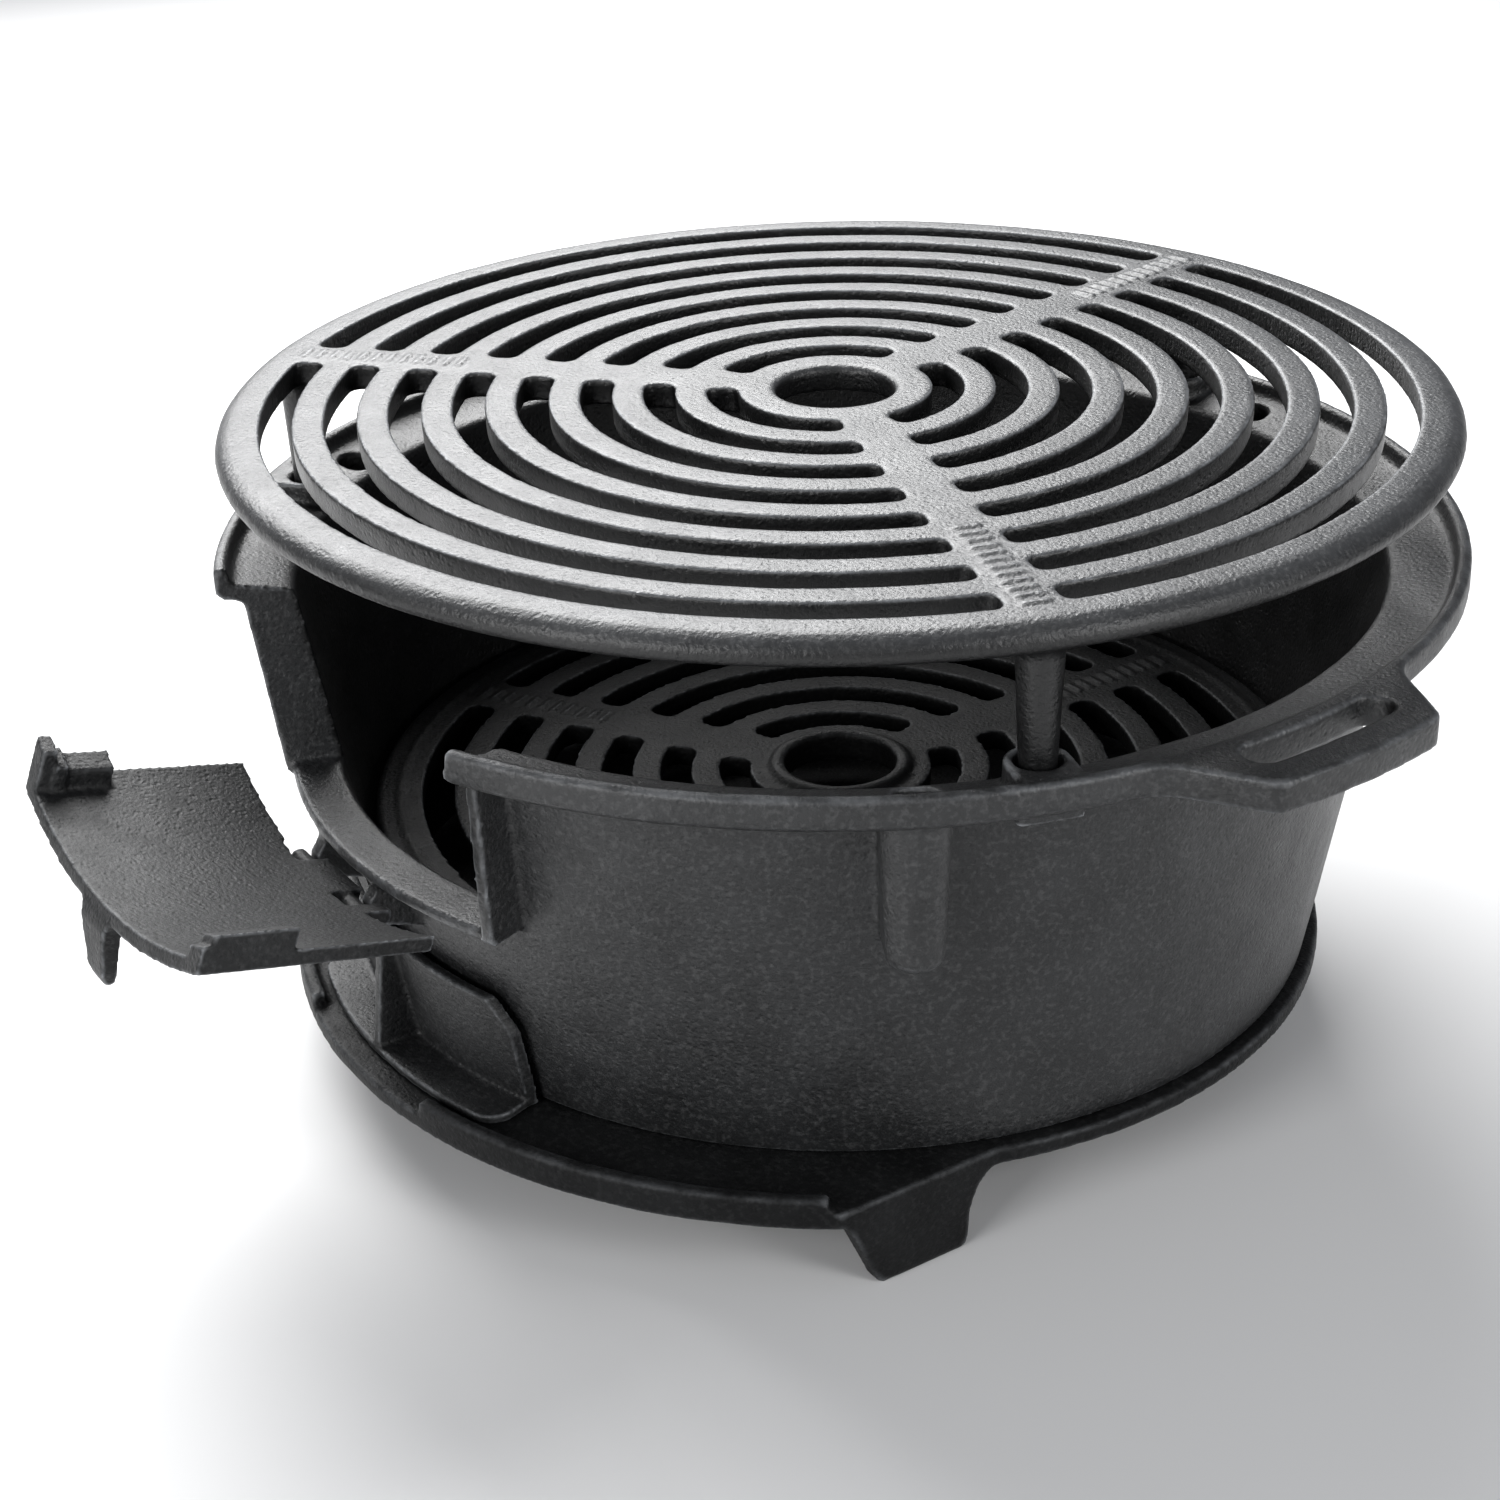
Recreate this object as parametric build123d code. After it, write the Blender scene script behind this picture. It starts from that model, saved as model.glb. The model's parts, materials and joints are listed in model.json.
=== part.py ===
from build123d import *
import os
from math import asin, cos, degrees, radians, sin

# Round cast-iron table grill: a base plate with three feet, a conical fire bowl with a fuel
# opening and an air opening, a hinged fuel door, a sliding air shutter, a coal grate inside the
# bowl and a cooking grate that stands on three legs in sockets in the bowl's rim.
#
# Frame: +Z up, z = 0 is the ground, the door faces -Y.  Everything is worked out about the
# bowl's own axis and moved by AXIS_Y at the end, so that the whole grill's footprint, with the
# door open, is centred on the origin.
#
# "delta" is an angle round the bowl from the middle of the door, positive towards +X.

# ---------------------------------------------------------------- driving dimensions (mm)
GRATE_TOP = 224.5        # cooking surface above the ground
GRATE_R = 204.5
GRATE_THICK = 9.3
GRATE_HOLE_R = 19.7
SLOT_FIRST_R = 32.5      # inner radius of the innermost slot, both grates
SLOT_PITCH = 21.0
SLOT_WIDTH = 10.2
COOK_SLOTS = 8
COAL_SLOTS = 6
SPOKE_HALF = 8.6         # half the width of a spoke between slot ends
SPOKE_DELTA = 72.0       # first cooking-grate spoke, leg and socket
LEG_R = 193.3            # distance of the legs from the axis
LEG_TOP_D = 14.2
LEG_END_D = 10.4
LEG_END_Z = 166.3

RIM_TOP = 179.2
RIM_R = 209.8
RIM_WIDTH = 4.5
BAND_HEIGHT = 10.5
LEDGE_OUT_Z = 173.5      # ledge height beside the rim
LEDGE_IN_Z = 170.2       # ledge height beside the wall
WALL_TOP_Z = 164.0
WALL_FOOT_Z = 32.1
WALL_FOOT_R = 165.3      # outer radius of the wall at its foot
WALL_DRAFT = 0.1708      # outward lean of the wall
WALL_THICK = 5.0
WALL_SECTORS = 6

SOCKET_BORE_R = 7.2
SOCKET_FLOOR_Z = 166.0
POCKET_TURN = 10.4       # deep pockets lie this far round from the rim sockets
POCKET_FLOOR_Z = 120.6
POCKET_BOTTOM_Z = 117.0

FUEL_HALF = 21.0         # half angle of the fuel opening at its foot
JAMB_THICK = 4.8         # at the foot
OPENING_LEAN = 0.10      # the opening widens upwards, for draft, and the jambs get thinner
JAMB_BACK_LEAN = 0.087
FRONT_OFFSET = 2.7       # the wall's front panel reaches this far past the opening's foot
SILL_TOP_Z = 109.0
SILL_THICK = 4.5
SILL_R = 191.0

DOOR_HALF = 70.5         # half the door's width
DOOR_FOOT_Z = 102.0      # door closed
DOOR_TOP_Z = 176.0
DOOR_FOOT_R = 193.1      # inner radius of the closed door at its foot
DOOR_DRAFT = 0.1338
DOOR_THICK = 5.0
DOOR_OPEN = 68.35        # opening angle at rest
HINGE_U = 196.0          # hinge axis: distance from the bowl's axis, and height
HINGE_Z = 97.0
HOOK_T = (-24.0, 14.4)   # hinge hooks, measured sideways from the middle of the door
PIN_D = 6.0
TONGUE_T = (-16.5, 29.0)     # the door's foot between and beside the hooks
LEFT_PIN_T = (-28.5, -16.5)  # ends of the pins, sideways from the middle of the door
RIGHT_PIN_T = (8.4, 20.4)

HANDLE_DELTA = 94.2
HANDLE_HALF = 8.7        # half angle of the straight of the handle
HANDLE_FLARE = 14.7      # half angle where the handle leaves the rim
HANDLE_R = 235.6
HANDLE_SLOT_R = 211.8
HANDLE_BAR = 12.0

PLATE_R = 170.0
PLATE_FOOT_Z = 25.6
FLOOR_Z = 31.8
APRON_R = 196.6
APRON_HALF_X = 161.5
APRON_LIP_Z = 36.6
APRON_LIP = 5.0
LIP_NOTCH = 11.5         # half angle of the ash notch in the apron's lip
FOOT_THICK = 7.5

COAL_TOP = 83.0
COAL_R = 164.6
COAL_THICK = 8.0
COAL_SPOKE_DELTA = 60.0
COAL_HOLE_R = 19.8

SHUTTER_HALF = 19.5      # half angle of the air shutter
SHUTTER_TOP_Z = 73.5
SHUTTER_GAP = 2.6        # between the bowl's wall and the shutter
SHUTTER_THICK = 4.0
SHUTTER_FOOT_R = 188.0
SHUTTER_FOOT_THICK = 3.2
AIR_HALF = 13.0          # half angle of the air opening behind the shutter
AIR_LOW_Z = 42.0
AIR_HIGH_Z = 66.0

DOOR_REACH = 276.8       # how far the open door reaches from the axis
AXIS_Y = (DOOR_REACH - RIM_R) / 2

CLEAR = 0.35             # gap between separate castings


# ---------------------------------------------------------------- small helpers
def polar(r, delta):
    """Point at radius r and angle delta from the door."""
    return (r * sin(radians(delta)), -r * cos(radians(delta)))


def wall_out(z):
    return WALL_FOOT_R + (z - WALL_FOOT_Z) * WALL_DRAFT


def wall_in(z):
    return wall_out(z) - WALL_THICK


def door_in(z):
    return DOOR_FOOT_R + (z - DOOR_FOOT_Z) * DOOR_DRAFT


def outline(points):
    return make_face(Polyline(*points, close=True))


def turned(points):
    """Ring from an outline of (radius, z) points."""
    return revolve(Plane.XZ * outline(points), Axis.Z)


def prism(points, z0, z1):
    """Upright prism on a plan outline."""
    return extrude(Plane.XY.offset(z0) * outline(points), z1 - z0)


def disc(r, z0, z1):
    return Pos(0, 0, z0) * Cylinder(r, z1 - z0, align=(Align.CENTER, Align.CENTER, Align.MIN))


def ring(r0, r1, z0, z1):
    return disc(r1, z0, z1) - disc(r0, z0, z1)


def pie(d0, d1, z0, z1, r=320):
    """Wedge of the space round the axis between two angles, less than half a turn."""
    steps = 6
    far = [polar(r, d0 + (d1 - d0) * i / steps) for i in range(steps + 1)]
    return prism([(0, 0)] + far, z0, z1)


def radial_plate(points, thick, delta):
    """Plate standing in the half plane at angle delta, from (radius, z) points."""
    plate = extrude(Plane.XZ * outline(points), thick / 2, both=True)
    return Rot(0, 0, delta - 90) * plate


def fuel_wedge(offset, z0, z1, lean=0.0):
    """Space between two planes through the opening's sides at its foot, each moved outwards by
    offset and leaning outwards towards the top."""
    x, y = polar(320, FUEL_HALF)
    faces = []
    for z in (z0, z1):
        out = offset + lean * (z - (SILL_TOP_Z - SILL_THICK))
        apex = out / sin(radians(FUEL_HALF))
        shift_x = out * cos(radians(FUEL_HALF))
        shift_y = out * sin(radians(FUEL_HALF))
        faces.append(Plane.XY.offset(z) * outline(
            [(0, apex), (x + shift_x, y + shift_y), (-x - shift_x, y + shift_y)]))
    return loft(faces, ruled=True)


def opening_wedge(z0, z1):
    return fuel_wedge(0.0, z0, z1, OPENING_LEAN)


def jamb_wedge(z0, z1):
    """The opening and both jambs."""
    return fuel_wedge(JAMB_THICK, z0, z1, JAMB_BACK_LEAN)


def at_delta(solid, delta):
    """Turn something drawn at the door round to angle delta."""
    return Rot(0, 0, delta) * solid


def slot_faces(count, first_delta, half_gap):
    """Plan outlines of the arc slots between three spokes."""
    faces = []
    for k in range(count):
        r0 = SLOT_FIRST_R + SLOT_PITCH * k
        r1 = r0 + SLOT_WIDTH
        a0 = degrees(asin(half_gap / ((r0 + r1) / 2)))
        for turn in range(3):
            d0 = first_delta + 120 * turn + a0
            d1 = first_delta + 120 * (turn + 1) - a0
            mid = (d0 + d1) / 2
            slot = make_face([
                ThreePointArc(polar(r0, d0), polar(r0, mid), polar(r0, d1)),
                Line(polar(r0, d1), polar(r1, d1)),
                ThreePointArc(polar(r1, d1), polar(r1, mid), polar(r1, d0)),
                Line(polar(r1, d0), polar(r0, d0)),
            ])
            faces.append(fillet(slot.vertices(), SLOT_WIDTH * 0.36))
    return faces


def slotted(plate, count, first_delta, half_gap, z0, z1):
    """Cut the arc slots, a little wider below than above, out of a round plate."""
    for face in slot_faces(count, first_delta, half_gap):
        plate -= extrude(Plane.XY.offset(z1 + 1) * face, -(z1 - z0 + 2), taper=-2.5)
    return plate


# ---------------------------------------------------------------- base plate
def base_plate():
    apron = disc(APRON_R, PLATE_FOOT_Z, FLOOR_Z) & Pos(0, -150, 0) * Box(2 * APRON_HALF_X, 300, 200)
    return disc(PLATE_R, PLATE_FOOT_Z, FLOOR_Z) + apron


def apron_lip(side):
    """Raised lip on the apron's edge, on one side of the ash notch."""
    lip = turned([
        (APRON_R - APRON_LIP - 0.6, FLOOR_Z),
        (APRON_R, FLOOR_Z),
        (APRON_R, APRON_LIP_Z - 1),
        (APRON_R - 1, APRON_LIP_Z),
        (APRON_R - APRON_LIP + 0.5, APRON_LIP_Z),
        (APRON_R - APRON_LIP, APRON_LIP_Z - 0.6),
    ])
    end = degrees(asin((APRON_HALF_X - 2.5) / APRON_R))
    return lip & pie(*sorted((side * LIP_NOTCH, side * end)), FLOOR_Z - 1, APRON_LIP_Z + 1)


def side_foot(side):
    """Tapered foot flush with the apron's flat side face."""
    profile = [(-110, 25.6), (-98.5, 0), (-65, 0), (-63.5, 14), (-61, 20.5), (-56, 25.6)]
    plate = extrude(Plane.YZ * outline(profile), FOOT_THICK / 2, both=True)
    plate = fillet(plate.edges().filter_by(Axis.X).group_by(Axis.Z)[0], 1.6)
    plate = Pos(APRON_HALF_X - FOOT_THICK / 2, 0, 0) * plate
    return plate if side > 0 else mirror(plate, Plane.YZ)


def back_foot():
    profile = [(-25, 25.6), (-18.5, 20.5), (-16.5, 14), (-16, 0)]
    profile += [(-x, z) for x, z in reversed(profile)]
    plate = extrude(Plane.XZ * outline(profile), FOOT_THICK / 2, both=True)
    plate = fillet(plate.edges().filter_by(Axis.Y).group_by(Axis.Z)[0], 1.6)
    return Pos(0, 160.5, 0) * plate


# ---------------------------------------------------------------- fire bowl
def socket_bore(delta, floor):
    """Upright round hole that takes a leg of the cooking grate."""
    x, y = polar(LEG_R, delta)
    cone = Cone(5.9, SOCKET_BORE_R, RIM_TOP - floor, align=(Align.CENTER, Align.CENTER, Align.MIN))
    return Pos(x, y, floor) * cone


def pocket_deltas():
    return [SPOKE_DELTA - POCKET_TURN + 120 * turn for turn in range(3)]


def socket_deltas():
    return [SPOKE_DELTA + 120 * turn for turn in range(3)]


def all_bores():
    bores = [socket_bore(delta, SOCKET_FLOOR_Z) for delta in socket_deltas()]
    return bores + [socket_bore(delta, POCKET_FLOOR_Z) for delta in pocket_deltas()]


def wall_ring(z0, z1):
    return turned([(wall_in(z0), z0), (wall_out(z0), z0), (wall_out(z1), z1), (wall_in(z1), z1)])


def bowl_front():
    """Wall below the fuel opening, with the air opening."""
    high = SILL_TOP_Z - SILL_THICK
    front = wall_ring(WALL_FOOT_Z, high) & fuel_wedge(FRONT_OFFSET, 0, 200)
    air = pie(-AIR_HALF, AIR_HALF, AIR_LOW_Z, AIR_HIGH_Z) - disc(120, AIR_LOW_Z - 1, AIR_HIGH_Z + 1)
    return front - fillet(air.edges().filter_by(lambda e: abs(e.tangent_at(0.5).Z) < 0.01
                                                and e.length > 100 and e.length < 260), 4)


def wall_sectors():
    """The rest of the wall, round the back of the bowl, in equal sectors."""
    foot = SILL_TOP_Z - SILL_THICK
    wall = wall_ring(WALL_FOOT_Z, WALL_TOP_Z) - fuel_wedge(FRONT_OFFSET, 0, foot)
    wall -= jamb_wedge(foot, 200)
    for bore in all_bores():
        wall -= bore
    span = (360 - 2 * FUEL_HALF) / WALL_SECTORS
    sectors = []
    for k in range(WALL_SECTORS):
        first = FUEL_HALF + span * k - (3 if k == 0 else 0)
        last = FUEL_HALF + span * (k + 1) + (3 if k == WALL_SECTORS - 1 else 0)
        sectors.append(wall & pie(first, last, 0, 200))
    return sectors


def leg_lobe(delta):
    """Boss that carries a rim socket across the ledge, flush with the rim's top."""
    x, y = polar(LEG_R, delta)
    round_boss = Pos(x, y, WALL_TOP_Z) * Cylinder(
        10.0, RIM_TOP - WALL_TOP_Z, align=(Align.CENTER, Align.CENTER, Align.MIN))
    neck = Pos(0, -LEG_R - 7, (RIM_TOP + WALL_TOP_Z) / 2) * Box(20, 14, RIM_TOP - WALL_TOP_Z)
    boss = round_boss + at_delta(neck, delta)
    return boss & disc(RIM_R - RIM_WIDTH + 0.1, 0, 300)


def rim_ring():
    return turned([
        (wall_in(WALL_TOP_Z), WALL_TOP_Z),
        (wall_out(WALL_TOP_Z), WALL_TOP_Z),
        (RIM_R - 2, RIM_TOP - BAND_HEIGHT - 0.4),
        (RIM_R, RIM_TOP - BAND_HEIGHT + 1.6),
        (RIM_R, RIM_TOP - 1.2),
        (RIM_R - 1.2, RIM_TOP),
        (RIM_R - RIM_WIDTH + 0.8, RIM_TOP),
        (RIM_R - RIM_WIDTH, RIM_TOP - 0.8),
        (RIM_R - RIM_WIDTH - 1.0, LEDGE_OUT_Z),
        (wall_in(LEDGE_IN_Z) + 1.5, LEDGE_IN_Z),
        (wall_in(LEDGE_IN_Z), LEDGE_IN_Z - 1.2),
    ])


def bowl_rim():
    rim = rim_ring() - opening_wedge(WALL_TOP_Z - 1, RIM_TOP + 1)
    for delta in socket_deltas():
        rim -= leg_lobe(delta)
    for bore in all_bores():
        rim -= bore
    return rim


def leg_socket(delta):
    """Socket boss in the rim, with a closed cup under it."""
    boss = leg_lobe(delta)
    x, y = polar(LEG_R, delta)
    cup = Pos(x, y, SOCKET_FLOOR_Z - 5) * Cone(
        7.5, 10.4, 8, align=(Align.CENTER, Align.CENTER, Align.MIN))
    cup -= rim_ring()
    cup -= disc(wall_in(100), 0, 300)
    boss = boss + (cup & pie(delta - 5, delta + 5, 100, RIM_TOP))
    boss -= turned([
        (0, 100), (wall_out(100), 100), (wall_out(WALL_TOP_Z), WALL_TOP_Z), (0, WALL_TOP_Z)])
    return boss - socket_bore(delta, SOCKET_FLOOR_Z)


def leg_pocket(delta):
    """Deep pocket outside the wall for the grate's lower position."""
    x, y = polar(LEG_R, delta)
    height = WALL_TOP_Z + 6 - POCKET_BOTTOM_Z
    shell = Pos(x, y, POCKET_BOTTOM_Z) * Cone(
        8.6, 10.7, height, align=(Align.CENTER, Align.CENTER, Align.MIN))
    shell = fillet(shell.edges().group_by(Axis.Z)[0], 4)
    web_low = 2 * 8.6
    web_high = 2 * 10.7
    top = WALL_TOP_Z + 6
    low = POCKET_BOTTOM_Z + 2
    web_face = outline([(-web_low / 2, low), (web_low / 2, low),
                        (web_high / 2, top), (-web_high / 2, top)])
    web = Pos(0, -LEG_R, 0) * extrude(Plane.XZ * web_face, -22)
    body = shell + at_delta(web, delta)
    body -= turned([
        (0, 100), (wall_out(100), 100), (wall_out(WALL_TOP_Z), WALL_TOP_Z),
        (RIM_R - 2, RIM_TOP - BAND_HEIGHT - 0.4), (RIM_R + 20, RIM_TOP - BAND_HEIGHT - 0.4),
        (RIM_R + 20, 190), (0, 190)])
    return body - socket_bore(delta, POCKET_FLOOR_Z)


def handle(side):
    """Carrying handle: a bar with a finger slot, running out of the rim in two smooth flares."""
    low = RIM_TOP - BAND_HEIGHT
    root = RIM_R - 9
    flare = HANDLE_FLARE
    bar = HANDLE_HALF - 0.6
    near = [polar(root, -flare - 3), polar(RIM_R - 1.0, -flare - 3), polar(RIM_R + 0.8, -flare + 1.4),
            polar(HANDLE_R, -bar)]
    far = [(-x, y) for x, y in reversed(near)]
    grip = make_face([
        Polyline(*near),
        ThreePointArc(near[-1], (0, -HANDLE_R), far[0]),
        Polyline(*far),
        ThreePointArc(far[-1], (0, -root), near[0]),
    ])
    outer = grip.vertices().filter_by(lambda v: v.Y < -HANDLE_R + 10)
    grip = fillet(outer, 7)
    flares = grip.vertices().filter_by(lambda v: abs(v.X - near[2][0]) < 0.1 or abs(v.X + near[2][0]) < 0.1)
    grip = fillet(flares, 16)
    grip = extrude(Plane.XY.offset(low) * grip, BAND_HEIGHT)
    outside = grip.edges().group_by(Axis.Z)[-1].filter_by(
        lambda e: (e @ 0.5).Y < -209 or abs((e @ 0.5).X) > 40)
    outside = outside.filter_by(lambda e: (e @ 0.5).Y ** 2 + (e @ 0.5).X ** 2 > (RIM_R + 0.2) ** 2)
    grip = chamfer(outside, 1.0)
    slot_r0 = HANDLE_SLOT_R
    slot_r1 = HANDLE_R - HANDLE_BAR
    slot_half = HANDLE_HALF - 1.2
    slot = make_face([
        ThreePointArc(polar(slot_r0, -slot_half), polar(slot_r0, 0), polar(slot_r0, slot_half)),
        Line(polar(slot_r0, slot_half), polar(slot_r1, slot_half)),
        ThreePointArc(polar(slot_r1, slot_half), polar(slot_r1, 0), polar(slot_r1, -slot_half)),
        Line(polar(slot_r1, -slot_half), polar(slot_r0, -slot_half)),
    ])
    slot = fillet(slot.vertices(), 5)
    grip -= extrude(Plane.XY.offset(low - 1) * slot, BAND_HEIGHT + 2)
    grip -= disc(RIM_R, low - 1, RIM_TOP + 1)
    return at_delta(grip, HANDLE_DELTA + (0 if side > 0 else 180))


def jamb(side):
    """Fin beside the fuel opening, from the wall out to the closed door, up to the rim."""
    low = SILL_TOP_Z - SILL_THICK
    stand_off = 0.8
    high = RIM_TOP - BAND_HEIGHT - 1.9
    fin = turned([
        (wall_in(low), low),
        (door_in(low) - stand_off - 1.5, low),
        (door_in(low + 2) - stand_off, low + 2),
        (door_in(high) - stand_off, high),
        (wall_out(WALL_TOP_Z), WALL_TOP_Z),
        (wall_in(WALL_TOP_Z), WALL_TOP_Z),
    ])
    fin = (fin & jamb_wedge(low - 1, 200)) - opening_wedge(low - 1, 200) - rim_ring()
    return fin & Pos(side * 150, -150, 150) * Box(300, 300, 300)


def fuel_sill():
    """Flat shelf across the foot of the fuel opening."""
    low = SILL_TOP_Z - SILL_THICK
    sill = turned([
        (wall_in(low) + 1.0, low),
        (SILL_R - 0.8, low),
        (SILL_R, low + 0.8),
        (SILL_R, SILL_TOP_Z - 1.2),
        (SILL_R - 1.2, SILL_TOP_Z),
        (wall_in(low) + 3.0, SILL_TOP_Z),
        (wall_in(low) + 1.0, SILL_TOP_Z - 2.0),
    ])
    return sill & opening_wedge(low - 1, SILL_TOP_Z + 1)


def hinge_hook(t):
    """Hook below the sill; the door's pin lies in its open top."""
    root = wall_out(HINGE_Z) - 2.0
    under = SILL_TOP_Z - SILL_THICK
    pin = PIN_D / 2 + CLEAR
    lip = HINGE_U + pin + 2.6
    profile = [
        (root, under),
        (root - 2.6, HINGE_Z - 13),
        (HINGE_U - 5, HINGE_Z - pin - 3.0),
        (HINGE_U + pin, HINGE_Z - pin - 3.0),
        (lip, HINGE_Z - pin + 0.4),
        (lip, HINGE_Z + 0.6),
        (HINGE_U + pin, HINGE_Z + 0.6),
        (HINGE_U + pin, HINGE_Z),
        (HINGE_U - pin, HINGE_Z),
        (HINGE_U - pin, HINGE_Z + 1.5),
        (HINGE_U - 8, under),
    ]
    plate = extrude(Plane.YZ * outline([(-u, z) for u, z in profile]), 3.2, both=True)
    seat = Pos(0, -HINGE_U, HINGE_Z) * Rot(0, 90, 0) * Cylinder(pin, 20)
    plate = Pos(t, 0, 0) * (plate - seat)
    return plate - turned([
        (0, 60), (wall_out(60), 60), (wall_out(under), under), (wall_out(under), 120), (0, 120)])


def grate_lug(delta):
    """Lug inside the wall that carries the coal grate."""
    top = COAL_TOP - COAL_THICK - CLEAR
    low = top - 16
    return radial_plate([
        (wall_in(low), low),
        (wall_in(top), top),
        (COAL_R - 9, top),
        (COAL_R - 9, top - 4),
    ], 12, delta) - turned([
        (wall_in(40), 40), (wall_in(100), 100), (220, 100), (220, 40)])


# ---------------------------------------------------------------- coal grate
def coal_grate():
    low = COAL_TOP - COAL_THICK
    plate = turned([
        (COAL_HOLE_R, low),
        (COAL_R - 1, low),
        (COAL_R, low + 1),
        (COAL_R, COAL_TOP - 1.5),
        (COAL_R - 1.5, COAL_TOP),
        (COAL_R - 7.2, COAL_TOP),
        (COAL_R - 8.0, COAL_TOP + 0.9),
        (COAL_R - 9.2, COAL_TOP + 0.9),
        (COAL_R - 10.0, COAL_TOP),
        (26.0, COAL_TOP),
        (24.6, COAL_TOP + 2.0),
        (22.4, COAL_TOP + 2.8),
        (COAL_HOLE_R, COAL_TOP + 1.8),
    ])
    return slotted(plate, COAL_SLOTS, COAL_SPOKE_DELTA, SPOKE_HALF + 1.8, low, COAL_TOP + 3)


# ---------------------------------------------------------------- cooking grate and legs
def cooking_grate():
    low = GRATE_TOP - GRATE_THICK
    plate = turned([
        (GRATE_HOLE_R + 1.2, low),
        (GRATE_R - 2.6, low),
        (GRATE_R - 0.7, low + 1.2),
        (GRATE_R, low + 3.4),
        (GRATE_R - 0.6, low + 5.6),
        (GRATE_R - 2.2, low + 7.6),
        (GRATE_R - 4.6, low + 8.9),
        (GRATE_R - 7.0, GRATE_TOP),
        (GRATE_HOLE_R + 2.2, GRATE_TOP),
        (GRATE_HOLE_R + 0.6, GRATE_TOP - 0.7),
        (GRATE_HOLE_R, GRATE_TOP - 2.4),
    ])
    return slotted(plate, COOK_SLOTS, SPOKE_DELTA, SPOKE_HALF, low, GRATE_TOP)


def grate_leg(delta):
    """Tapered leg cast under a spoke."""
    x, y = polar(LEG_R, delta)
    top = GRATE_TOP - GRATE_THICK
    profile = [
        (0, LEG_END_Z),
        (LEG_END_D / 2 - 1.2, LEG_END_Z),
        (LEG_END_D / 2, LEG_END_Z + 1.2),
        (LEG_TOP_D / 2, top - 3),
        (LEG_TOP_D / 2 + 1.6, top),
        (0, top),
    ]
    return Pos(x, y, 0) * turned(profile)


# ---------------------------------------------------------------- fuel door
def opened(solid):
    """Swing something drawn on the closed door to the open rest position."""
    to_axis = Pos(0, HINGE_U, -HINGE_Z)
    back = Pos(0, -HINGE_U, HINGE_Z)
    return back * Rot(DOOR_OPEN, 0, 0) * to_axis * solid


def door_shell(z0, z1, inset=0.0, thick=DOOR_THICK):
    return turned([
        (door_in(z0) - inset, z0),
        (door_in(z0) + thick, z0),
        (door_in(z1) + thick, z1),
        (door_in(z1) - inset, z1),
    ])


def strip(t0, t1, z0, z1):
    """Block on the door's side of the axis between two distances from the middle."""
    return Pos((t0 + t1) / 2, -220, (z0 + z1) / 2) * Box(t1 - t0, 140, z1 - z0)


def fuel_door():
    """Curved door plate; its foot has a heel in the middle and a notch for the right hook."""
    low = HINGE_Z - 4.6
    shell = door_shell(low, DOOR_TOP_Z)
    keep = strip(-DOOR_HALF, DOOR_HALF, DOOR_FOOT_Z, DOOR_TOP_Z + 1)
    keep += strip(TONGUE_T[0], TONGUE_T[1], low - 1, DOOR_FOOT_Z + 1)
    keep -= strip(RIGHT_PIN_T[0], RIGHT_PIN_T[1], low - 2, DOOR_FOOT_Z + 1.5)
    keep -= strip(LEFT_PIN_T[0] - 1.5, LEFT_PIN_T[1], low - 2, DOOR_FOOT_Z + 1.5)
    return opened(shell & keep)


def door_pin(t0, t1):
    """Cast pin at the door's foot; it turns in one of the bowl's hooks."""
    bar = Rot(0, 90, 0) * Cylinder(PIN_D / 2, t1 - t0)
    bar = Pos((t0 + t1) / 2, -HINGE_U, HINGE_Z) * bar
    return opened(bar)


def edge_rib(t0, z0, z1, height):
    """Rib on the door's inner face, flush with its right edge."""
    return door_shell(z0, z1, inset=height, thick=0) & strip(t0, DOOR_HALF, 80, 200)


def door_lug():
    """Stepped lug at the left end of the door's upper edge."""
    lug = edge_rib(62.0, DOOR_TOP_Z - 5.0, DOOR_TOP_Z, 12.5)
    lug += edge_rib(60.8, DOOR_TOP_Z - 9.0, DOOR_TOP_Z - 5.0, 8.5)
    return opened(mirror(lug, Plane.YZ))


def door_rib(side):
    """Low rib along the upper part of the door's side."""
    if side < 0:
        return opened(mirror(edge_rib(61.8, DOOR_TOP_Z - 25.0, DOOR_TOP_Z - 9.0, 6.5), Plane.YZ))
    rib = edge_rib(62.4, DOOR_TOP_Z - 29.0, DOOR_TOP_Z - 3.0, 6.5)
    return opened(rib + edge_rib(62.4, DOOR_TOP_Z - 3.0, DOOR_TOP_Z, 3.6))


def door_tab():
    """Tapered lifting tab under the door's upper edge; upright while the door is open."""
    side_view = outline([(-268.0, 117.5), (-273.9, 116.2), (-275.6, 112.5), (-276.2, 106.0),
                         (-DOOR_REACH, 96.0), (-275.8, 92.6), (-273.8, 91.4), (-272.2, 92.6),
                         (-271.0, 101.0), (-269.6, 109.0), (-267.0, 112.0)])
    tab = extrude(Plane.YZ * side_view, 14, both=True)
    front = outline([(-12.0, 118), (12.0, 118), (9.4, 112.5), (8.2, 107), (6.6, 97), (5.2, 92.4),
                     (3.4, 91.2), (-3.4, 91.2), (-5.2, 92.4), (-6.6, 97), (-8.2, 107), (-9.4, 112.5)])
    tab &= Pos(0, -200, 0) * extrude(Plane.XZ * front, 120)
    beyond = DOOR_TOP_Z + 30
    inside = turned([(0, 90), (door_in(90), 90), (door_in(beyond), beyond), (0, beyond)])
    plate = door_shell(DOOR_FOOT_Z, DOOR_TOP_Z)
    return tab - opened((inside + plate) & strip(-40, 40, 90, beyond))


# ---------------------------------------------------------------- air shutter
def shutter_in(z):
    return wall_out(z) + SHUTTER_GAP


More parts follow.
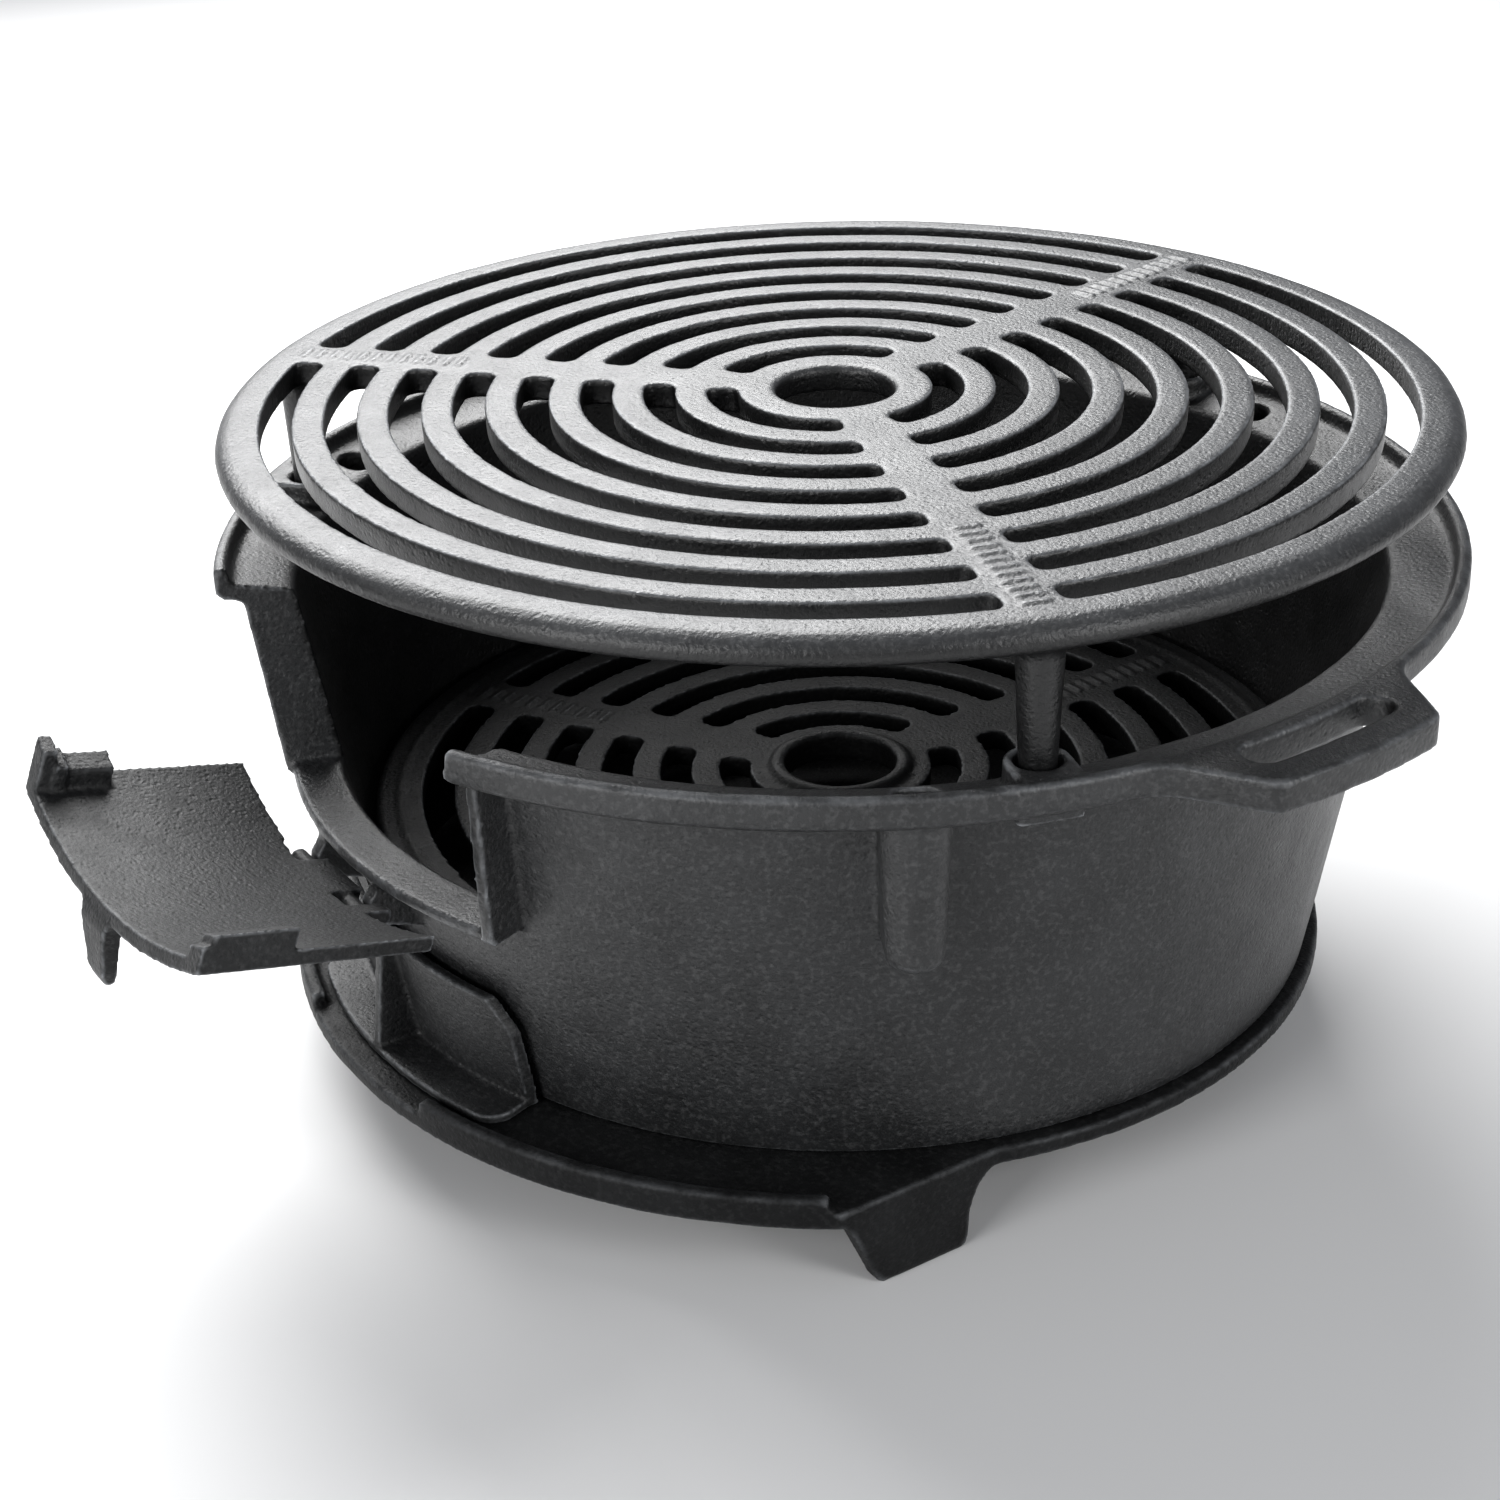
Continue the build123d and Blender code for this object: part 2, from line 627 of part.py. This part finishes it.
def shutter_plate():
    """Curved plate that covers the air opening, with clipped upper corners."""
    low = FLOOR_Z + 0.4
    shell = turned([
        (shutter_in(low), low),
        (shutter_in(low) + SHUTTER_THICK, low),
        (shutter_in(SHUTTER_TOP_Z) + SHUTTER_THICK, SHUTTER_TOP_Z),
        (shutter_in(SHUTTER_TOP_Z), SHUTTER_TOP_Z),
    ])
    half = sin(radians(SHUTTER_HALF)) * (shutter_in(low) + SHUTTER_THICK)
    front = outline([(-half, low - 1), (half, low - 1), (half + 1, SHUTTER_TOP_Z - 11),
                     (half - 7, SHUTTER_TOP_Z + 1), (-half + 7, SHUTTER_TOP_Z + 1),
                     (-half - 1, SHUTTER_TOP_Z - 11)])
    front = Pos(0, -100, 0) * extrude(Plane.XZ * front, 120)
    return shell & front


def shutter_foot():
    """Flat foot that slides on the apron, with rounded outer corners."""
    low = FLOOR_Z + 0.4
    high = low + SHUTTER_FOOT_THICK
    inner = shutter_in(high) + SHUTTER_THICK
    foot = ring(inner - 4, SHUTTER_FOOT_R, low, high) & pie(
        -SHUTTER_HALF, SHUTTER_HALF, low - 1, high + 1)
    corners = foot.edges().filter_by(Axis.Z).group_by(lambda e: round((e @ 0.5).X ** 2
                                                                      + (e @ 0.5).Y ** 2))[-1]
    foot = fillet(corners, 9)
    return foot - turned([
        (0, 20), (shutter_in(20) + SHUTTER_THICK, 20), (shutter_in(90) + SHUTTER_THICK, 90), (0, 90)])


def shutter_grip():
    """Upright web between plate and foot, used as the shutter's handle."""
    low = FLOOR_Z + 0.4 + SHUTTER_FOOT_THICK
    web = radial_plate([
        (160, low),
        (SHUTTER_FOOT_R - 0.4, low),
        (SHUTTER_FOOT_R - 0.4, low + 1.5),
        (shutter_in(SHUTTER_TOP_Z) + SHUTTER_THICK + 4.6, SHUTTER_TOP_Z - 1),
        (160, SHUTTER_TOP_Z - 1),
    ], 4.0, 0)
    return web - turned([
        (0, 20), (shutter_in(20) + SHUTTER_THICK, 20), (shutter_in(90) + SHUTTER_THICK, 90), (0, 90)])


# ---------------------------------------------------------------- write the parts
def all_parts():
    parts = {
        "base_plate": base_plate(),
        "foot_back": back_foot(),
        "bowl_front": bowl_front(),
        "bowl_rim": bowl_rim(),
        "fuel_sill": fuel_sill(),
        "coal_grate": coal_grate(),
        "cooking_grate": cooking_grate(),
        "fuel_door": fuel_door(),
        "door_tab": door_tab(),
        "door_lug": door_lug(),
        "shutter_plate": shutter_plate(),
        "shutter_foot": shutter_foot(),
        "shutter_grip": shutter_grip(),
    }
    for name, side in (("left", -1), ("right", 1)):
        parts["apron_lip_" + name] = apron_lip(side)
        parts["foot_front_" + name] = side_foot(side)
        parts["handle_" + name] = handle(side)
        parts["jamb_" + name] = jamb(side)
        parts["door_rib_" + name] = door_rib(side)
    for name, t, pin in zip(("left", "right"), HOOK_T, (LEFT_PIN_T, RIGHT_PIN_T)):
        parts["hinge_hook_" + name] = hinge_hook(t)
        parts["door_pin_" + name] = door_pin(*pin)
    for k, sector in enumerate(wall_sectors()):
        parts["bowl_wall_" + str(k + 1)] = sector
    for turn in range(3):
        number = str(turn + 1)
        parts["leg_socket_" + number] = leg_socket(socket_deltas()[turn])
        parts["leg_pocket_" + number] = leg_pocket(pocket_deltas()[turn])
        parts["grate_leg_" + number] = grate_leg(socket_deltas()[turn])
        parts["coal_grate_lug_" + number] = grate_lug(COAL_SPOKE_DELTA + 120 * turn)
    return parts


os.makedirs("parts", exist_ok=True)
for name, solid in all_parts().items():
    export_step(Pos(0, AXIS_Y, 0) * solid, "parts/" + name + ".step")
    print(name, round(solid.volume / 1000, 1), "cm3")
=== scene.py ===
import json
from math import cos, radians, sin

import bmesh
import bpy
import numpy as np
from mathutils import Matrix, Vector


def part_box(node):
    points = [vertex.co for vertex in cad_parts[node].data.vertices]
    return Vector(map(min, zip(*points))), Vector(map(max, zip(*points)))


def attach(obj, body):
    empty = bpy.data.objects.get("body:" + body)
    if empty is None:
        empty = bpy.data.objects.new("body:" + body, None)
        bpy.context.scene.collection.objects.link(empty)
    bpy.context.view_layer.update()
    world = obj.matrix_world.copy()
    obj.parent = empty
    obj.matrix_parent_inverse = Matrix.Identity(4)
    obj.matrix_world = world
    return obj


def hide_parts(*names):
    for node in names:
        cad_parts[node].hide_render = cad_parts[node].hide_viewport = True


# Looks of a round cast-iron charcoal grill.  Each of the six castings is rebuilt from its CAD
# nodes as one continuous skin with cast fillets and rounded edges, then given sand-cast grain.
# Metres, in the CAD's frame: +Z up, the fuel door faces -Y.

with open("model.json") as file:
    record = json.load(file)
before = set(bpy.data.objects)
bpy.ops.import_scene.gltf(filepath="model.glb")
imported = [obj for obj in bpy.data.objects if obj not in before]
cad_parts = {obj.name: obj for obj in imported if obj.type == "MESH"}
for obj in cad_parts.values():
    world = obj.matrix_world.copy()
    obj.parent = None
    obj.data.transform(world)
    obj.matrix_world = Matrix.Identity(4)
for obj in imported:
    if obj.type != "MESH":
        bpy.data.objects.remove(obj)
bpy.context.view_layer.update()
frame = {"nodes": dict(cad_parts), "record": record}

GRATE_LOW, GRATE_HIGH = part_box("cooking_grate")
AXIS_Y = (GRATE_LOW.y + GRATE_HIGH.y) / 2     # the bowl's own axis stands at x = 0, y = AXIS_Y
GRATE_TOP = GRATE_HIGH.z
COAL_RING_RISE = 0.0028                       # the ring round the coal grate's middle hole
COAL_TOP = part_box("coal_grate")[1].z - COAL_RING_RISE
BODIES = frame["record"]["behaviour"]["bodies"]


# ---------------------------------------------------------------- mesh helpers
def new_object(name, mesh):
    thing = bpy.data.objects.new(name, mesh)
    bpy.context.scene.collection.objects.link(thing)
    return thing


def apply_modifiers(thing):
    """Swap the object's mesh for the result of its modifiers."""
    bpy.context.view_layer.update()
    result = bpy.data.meshes.new_from_object(
        thing.evaluated_get(bpy.context.evaluated_depsgraph_get()))
    thing.modifiers.clear()
    thing.data = result


def joined(name, nodes):
    """One object holding the closed skins of several CAD nodes."""
    bm = bmesh.new()
    for cad_node in nodes:
        bm.from_mesh(frame["nodes"][cad_node].data)
    bmesh.ops.remove_doubles(bm, verts=bm.verts, dist=1e-6)
    mesh = bpy.data.meshes.new(name)
    bm.to_mesh(mesh)
    bm.free()
    return new_object(name, mesh)


def drop_crumbs(mesh, smallest):
    """Remove closed-off bubbles left inside a remeshed skin."""
    bm = bmesh.new()
    bm.from_mesh(mesh)
    bm.verts.ensure_lookup_table()
    seen = [False] * len(bm.verts)
    doomed = []
    for start in bm.verts:
        if seen[start.index]:
            continue
        island = []
        stack = [start]
        seen[start.index] = True
        while stack:
            vert = stack.pop()
            island.append(vert)
            for edge in vert.link_edges:
                other = edge.other_vert(vert)
                if not seen[other.index]:
                    seen[other.index] = True
                    stack.append(other)
        if len(island) < smallest:
            doomed += island
    bmesh.ops.delete(bm, geom=doomed, context="VERTS")
    bm.to_mesh(mesh)
    bm.free()


def clouds(name, size, depth):
    """Soft noise for a displace modifier, with features of the given size."""
    texture = bpy.data.textures.new(name, "CLOUDS")
    texture.noise_scale = size
    texture.noise_depth = depth
    return texture


BAR_PITCH = 0.0052
BAR_HALF = 0.0048       # half the length of a bar
BAR_FADE = 0.0009       # width over which a bar's ends run out
BAR_HEIGHT = 0.00065
TOP_SKIN = 0.0012       # vertices this close to the top belong to the top face


def ladder_relief(mesh, top, delta, r0, r1):
    """Raised crosswise bars on one spoke of a grate, between two distances from the axis.

    delta is the spoke's direction in degrees, from the door's side toward +X.
    """
    count = len(mesh.vertices)
    at = np.zeros(count * 3)
    mesh.vertices.foreach_get("co", at)
    at = at.reshape(-1, 3)
    along = at[:, 0] * sin(radians(delta)) - (at[:, 1] - AXIS_Y) * cos(radians(delta))
    across = at[:, 0] * cos(radians(delta)) + (at[:, 1] - AXIS_Y) * sin(radians(delta))
    bars = np.clip(1.6 * np.cos((along - r0) / BAR_PITCH * 2 * np.pi) + 0.35, 0, 1)
    bars *= np.clip((BAR_HALF - np.abs(across)) / BAR_FADE, 0, 1)
    bars *= (along > r0 - BAR_PITCH / 2) & (along < r1 + BAR_PITCH / 2)
    bars *= at[:, 2] > top - TOP_SKIN
    at[:, 2] += bars * BAR_HEIGHT
    mesh.vertices.foreach_set("co", at.ravel())


SMALLEST_SKIN = 3000    # vertices; anything smaller is a bubble
SWELL_SIZE = 0.030      # broad unevenness of a cast face
SAND_SIZE = 0.0035      # grain of the moulding sand


def casting(name, body, slot, voxel, rounds, faces, swell, sand, reliefs=()):
    """One casting: a body's CAD nodes fused into a skin with rounded edges and uneven faces.

    rounds sets how far the edges are rounded, faces caps the triangles, swell and sand are
    the depths of the two kinds of unevenness.
    """
    nodes = BODIES[body]
    thing = joined(name, nodes)
    remesh = thing.modifiers.new("fuse", "REMESH")
    remesh.mode = "VOXEL"
    remesh.voxel_size = voxel
    remesh.adaptivity = 0
    smooth = thing.modifiers.new("fillets", "SMOOTH")
    smooth.factor = 0.5
    smooth.iterations = rounds
    apply_modifiers(thing)
    drop_crumbs(thing.data, SMALLEST_SKIN)
    unevenness = (("swell", SWELL_SIZE, 1, swell), ("sand", SAND_SIZE, 2, sand))
    for label, size, depth, strength in unevenness:
        displace = thing.modifiers.new(label, "DISPLACE")
        displace.texture = clouds(name + "_" + label, size, depth)
        displace.texture_coords = "GLOBAL"
        displace.strength = strength
        displace.mid_level = 0.5
    apply_modifiers(thing)
    for relief in reliefs:
        ladder_relief(thing.data, *relief)
    triangles = 2 * len(thing.data.polygons)
    if triangles > faces:
        thin = thing.modifiers.new("thin", "DECIMATE")
        thin.ratio = faces / triangles
        apply_modifiers(thing)
    thing.data.materials.clear()
    thing.data.materials.append(MATERIALS[slot])
    thing.data.polygons.foreach_set("use_smooth", [True] * len(thing.data.polygons))
    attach(thing, body)
    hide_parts(*nodes)


# ---------------------------------------------------------------- materials
def node(tree, kind, **values):
    """A new node with its settings and plain input values filled in."""
    made = tree.nodes.new(kind)
    for key, value in values.items():
        if hasattr(made, key):
            setattr(made, key, value)
        else:
            made.inputs[key.replace("_", " ")].default_value = value
    return made


def ramp(tree, source, low, high):
    """Map a value to colours; low and high are each (value, colour)."""
    made = tree.nodes.new("ShaderNodeValToRGB")
    for stop, (place, colour) in zip(made.color_ramp.elements, (low, high)):
        stop.position = place
        stop.color = colour
    tree.links.new(source, made.inputs["Fac"])
    return made


def grey(value):
    return (value, value, value, 1)


def iron(value):
    """A very slightly bluish iron grey."""
    return (value * 0.96, value, value * 1.05, 1)


GRAIN_DEPTH = 0.0005    # metres, for the finest grain and pits


def cast_iron(name, dark, light, rough, wear_and_highlight, grain, fleck, specular, side_shade=1.0, inward_dark=1.0):
    """Seasoned sand-cast iron: mottled near-black, paler on sharp edges from wear and painted
    highlight, fine grain.

    rough is the lowest and highest roughness, the edge colour is partly wear and partly painted
    highlight, and fleck is the share of pale flecks.  The side factor is painted shade that
    darkens faces that don't look up; the inward factor darkens faces turned to the bowl's axis.
    """
    material = bpy.data.materials.new(name)
    material.use_nodes = True
    tree = material.node_tree
    tree.nodes.clear()
    link = tree.links.new
    out = tree.nodes.new("ShaderNodeOutputMaterial")
    shader = tree.nodes.new("ShaderNodeBsdfPrincipled")
    link(shader.outputs["BSDF"], out.inputs["Surface"])
    where = tree.nodes.new("ShaderNodeTexCoord").outputs["Object"]

    def noise(scale, detail, roughness=0.55):
        made = node(tree, "ShaderNodeTexNoise", Scale=scale, Detail=detail, Roughness=roughness)
        link(where, made.inputs["Vector"])
        return made.outputs["Fac"]

    # mottled seasoning with small paler flecks
    mottle = ramp(tree, noise(38, 6, 0.6), (0.34, dark), (0.68, light))
    flecks = ramp(tree, noise(520, 4), (0.50, grey(0.0)), (0.66, grey(1.0)))
    tinted = node(tree, "ShaderNodeMix", data_type="RGBA", blend_type="ADD")
    tinted.inputs[0].default_value = fleck
    link(mottle.outputs["Color"], tinted.inputs[6])
    link(flecks.outputs["Color"], tinted.inputs[7])

    # rubbed edges with painted edge highlights, and painted shade in hollows
    geometry = tree.nodes.new("ShaderNodeNewGeometry")
    edges = geometry.outputs["Pointiness"]
    # sharp edges turn paler: partly real wear, partly painted highlight
    rubbed_and_highlit = ramp(tree, edges, (0.52, grey(0.0)), (0.57, grey(1.0)))
    patchy = ramp(tree, noise(120, 5), (0.35, grey(0.15)), (0.62, grey(1.0)))
    rub_and_highlight = node(tree, "ShaderNodeMath", operation="MULTIPLY")
    link(rubbed_and_highlit.outputs["Color"], rub_and_highlight.inputs[0])
    link(patchy.outputs["Color"], rub_and_highlight.inputs[1])
    coloured = node(tree, "ShaderNodeMix", data_type="RGBA")
    link(rub_and_highlight.outputs["Value"], coloured.inputs[0])
    link(tinted.outputs[2], coloured.inputs[6])
    coloured.inputs[7].default_value = wear_and_highlight
    # painted shade: concave places, found by low pointiness, are darkened
    hollow_shade = ramp(tree, edges, (0.44, grey(0.45)), (0.49, grey(1.0)))
    shaded = node(tree, "ShaderNodeMix", data_type="RGBA", blend_type="MULTIPLY")
    shaded.inputs[0].default_value = 1.0
    link(coloured.outputs[2], shaded.inputs[6])
    link(hollow_shade.outputs["Color"], shaded.inputs[7])

    # painted shade on faces that don't look up, and darker faces turned to the bowl's axis
    split = tree.nodes.new("ShaderNodeSeparateXYZ")
    link(geometry.outputs["Normal"], split.inputs["Vector"])
    # painted shade: faces that don't look up are darkened by the side factor
    painted_side_shade = ramp(tree, split.outputs["Z"], (0.30, grey(side_shade)), (0.85, grey(1.0)))
    # faces turned to the bowl's axis are darker
    radial = node(tree, "ShaderNodeVectorMath", operation="MULTIPLY_ADD")
    link(where, radial.inputs[0])
    radial.inputs[1].default_value = (1, 1, 0)
    radial.inputs[2].default_value = (0, -AXIS_Y, 0)
    facing = node(tree, "ShaderNodeVectorMath", operation="DOT_PRODUCT")
    link(radial.outputs["Vector"], facing.inputs[0])
    link(geometry.outputs["Normal"], facing.inputs[1])
    signed = node(tree, "ShaderNodeMath", operation="MULTIPLY_ADD")
    link(facing.outputs["Value"], signed.inputs[0])
    signed.inputs[1].default_value = 8.0
    signed.inputs[2].default_value = 0.5
    inward_darkening = ramp(tree, signed.outputs["Value"], (0.05, grey(inward_dark)), (0.45, grey(1.0)))
    side_and_inward_dark = node(tree, "ShaderNodeMix", data_type="RGBA", blend_type="MULTIPLY")
    side_and_inward_dark.inputs[0].default_value = 1.0
    link(painted_side_shade.outputs["Color"], side_and_inward_dark.inputs[6])
    link(inward_darkening.outputs["Color"], side_and_inward_dark.inputs[7])
    # the base colour times its painted shade and its inward darkening
    shaded_base = node(tree, "ShaderNodeMix", data_type="RGBA", blend_type="MULTIPLY")
    shaded_base.inputs[0].default_value = 1.0
    link(shaded.outputs[2], shaded_base.inputs[6])
    link(side_and_inward_dark.outputs[2], shaded_base.inputs[7])
    link(shaded_base.outputs[2], shader.inputs["Base Color"])

    # uneven gloss, smoother where it is rubbed
    low, high = rough
    gloss = ramp(tree, noise(70, 7, 0.65), (0.3, grey(low)), (0.7, grey(high)))
    polished = node(tree, "ShaderNodeMix", data_type="RGBA")
    link(rub_and_highlight.outputs["Value"], polished.inputs[0])
    link(gloss.outputs["Color"], polished.inputs[6])
    polished.inputs[7].default_value = grey(low - 0.05)
    link(polished.outputs[2], shader.inputs["Roughness"])

    # sand grain and pits
    pits = node(tree, "ShaderNodeTexVoronoi", Scale=430.0)
    link(where, pits.inputs["Vector"])
    pitted = ramp(tree, pits.outputs["Distance"], (0.05, grey(0.0)), (0.42, grey(1.0)))
    fine = node(tree, "ShaderNodeBump", Strength=grain, Distance=GRAIN_DEPTH)
    link(noise(820, 4, 0.6), fine.inputs["Height"])
    coarse = node(tree, "ShaderNodeBump", Strength=grain * 0.5, Distance=GRAIN_DEPTH)
    link(pitted.outputs["Color"], coarse.inputs["Height"])
    link(fine.outputs["Normal"], coarse.inputs["Normal"])
    link(coarse.outputs["Normal"], shader.inputs["Normal"])
    shader.inputs["IOR"].default_value = 1.5
    shader.inputs["Specular IOR Level"].default_value = specular
    return material


MATERIALS = {
    "base_iron": cast_iron(
        "base_iron", dark=iron(0.004), light=iron(0.010), rough=(0.44, 0.58),
        wear_and_highlight=iron(0.12), grain=0.6, fleck=0.008, specular=0.16),
    "bowl_iron": cast_iron(
        "bowl_iron", dark=iron(0.009), light=iron(0.020), rough=(0.37, 0.50),
        wear_and_highlight=iron(0.28), grain=0.60, fleck=0.024, specular=0.56, inward_dark=0.10),
    "coal_grate_iron": cast_iron(
        "coal_grate_iron", dark=iron(0.003), light=iron(0.007), rough=(0.44, 0.56),
        wear_and_highlight=iron(0.12), grain=0.55, fleck=0.005, specular=0.10, side_shade=0.4),
    # partly painted light: the cooking grate's paler tone and pale edges stand in for sheen on
    # its lit tops, with painted shade on its sides
    "cooking_grate_iron": cast_iron(
        "cooking_grate_iron", dark=iron(0.028), light=iron(0.050), rough=(0.34, 0.46),
        wear_and_highlight=iron(0.42), grain=0.55, fleck=0.030, specular=0.56, side_shade=0.12),
    "door_iron": cast_iron(
        "door_iron", dark=iron(0.006), light=iron(0.014), rough=(0.44, 0.58),
        wear_and_highlight=iron(0.22), grain=0.65, fleck=0.016, specular=0.32),
    "shutter_iron": cast_iron(
        "shutter_iron", dark=iron(0.007), light=iron(0.016), rough=(0.42, 0.56),
        wear_and_highlight=iron(0.20), grain=0.6, fleck=0.016, specular=0.40),
}


# ---------------------------------------------------------------- the six castings
casting("base_casting", "base", "base_iron", voxel=0.0012, rounds=4, faces=160000,
        swell=0.0004, sand=0.00014)
casting("bowl_casting", "bowl", "bowl_iron", voxel=0.0011, rounds=4, faces=260000,
        swell=0.0005, sand=0.00014)
casting("coal_grate_casting", "coal_grate", "coal_grate_iron", voxel=0.0010, rounds=5,
        faces=200000, swell=0.0003, sand=0.00010,
        reliefs=[(COAL_TOP, delta, 0.096, 0.148) for delta in (60, 180, 300)])
casting("cooking_grate_casting", "cooking_grate", "cooking_grate_iron", voxel=0.0009, rounds=5,
        faces=380000, swell=0.0003, sand=0.00008,
        reliefs=[(GRATE_TOP, delta, 0.132, 0.190) for delta in (72, 192, 312)])
casting("door_casting", "door", "door_iron", voxel=0.0008, rounds=4, faces=90000,
        swell=0.0003, sand=0.00014)
casting("shutter_casting", "shutter", "shutter_iron", voxel=0.0008, rounds=4, faces=70000,
        swell=0.0002, sand=0.00010)


# ---------------------------------------------------------------- floor, light and camera
def plain(name, colour, roughness):
    material = bpy.data.materials.new(name)
    material.use_nodes = True
    shader = material.node_tree.nodes["Principled BSDF"]
    shader.inputs["Base Color"].default_value = colour
    shader.inputs["Roughness"].default_value = roughness
    return material


FLOOR_HALF = 6.0
PALE = (0.80, 0.80, 0.80, 1)


def make_floor():
    half = FLOOR_HALF
    corners = [(-half, -half, 0), (half, -half, 0), (half, half, 0), (-half, half, 0)]
    mesh = bpy.data.meshes.new("floor")
    mesh.from_pydata(corners, [], [(0, 1, 2, 3)])
    floor = new_object("floor", mesh)
    floor.data.materials.append(plain("pale_floor", PALE, 0.7))


def soft_light(name, place, aim, size, watts):
    """A rectangular area light at a place, turned to the point it aims at."""
    light = bpy.data.lights.new(name, "AREA")
    light.shape = "RECTANGLE"
    light.size, light.size_y = size
    light.energy = watts
    lamp = bpy.data.objects.new(name, light)
    bpy.context.scene.collection.objects.link(lamp)
    lamp.location = place
    lamp.rotation_euler = (Vector(aim) - Vector(place)).to_track_quat("-Z", "Y").to_euler()


make_floor()
world = bpy.data.worlds.new("studio")
bpy.context.scene.world = world
world.use_nodes = True
sky = world.node_tree.nodes["Background"]
sky.inputs["Color"].default_value = (0.9, 0.93, 1.0, 1)
sky.inputs["Strength"].default_value = 0.24

MIDDLE = (0, AXIS_Y, 0.12)
soft_light("overhead", (-1.3, 0.25, 1.3), MIDDLE, (1.8, 1.2), 74)
soft_light("front", (0.5, -1.8, 0.8), MIDDLE, (1.0, 0.8), 20)
soft_light("right", (1.7, 0.5, 0.8), MIDDLE, (0.6, 0.9), 14)

# The camera's place and its three axes, in the CAD's frame.
CAMERA_LENS = 64.816
CAMERA_PLACE = (0.7059, AXIS_Y - 0.4851, 0.521)
CAMERA_RIGHT = (0.546513, 0.837006, -0.027297)
CAMERA_UP = (-0.363515, 0.266465, 0.892668)
CAMERA_BACK = (0.754441, -0.477932, 0.449891)

camera = bpy.data.cameras.new("photo_angle")
camera.sensor_width = 36
camera.lens = CAMERA_LENS
camera.clip_start = 0.01
viewer = bpy.data.objects.new("photo_angle", camera)
bpy.context.scene.collection.objects.link(viewer)
turn = Matrix((CAMERA_RIGHT, CAMERA_UP, CAMERA_BACK)).transposed().to_4x4()
viewer.matrix_world = Matrix.Translation(CAMERA_PLACE) @ turn
bpy.context.scene.camera = viewer
bpy.context.scene.view_settings.view_transform = "Standard"
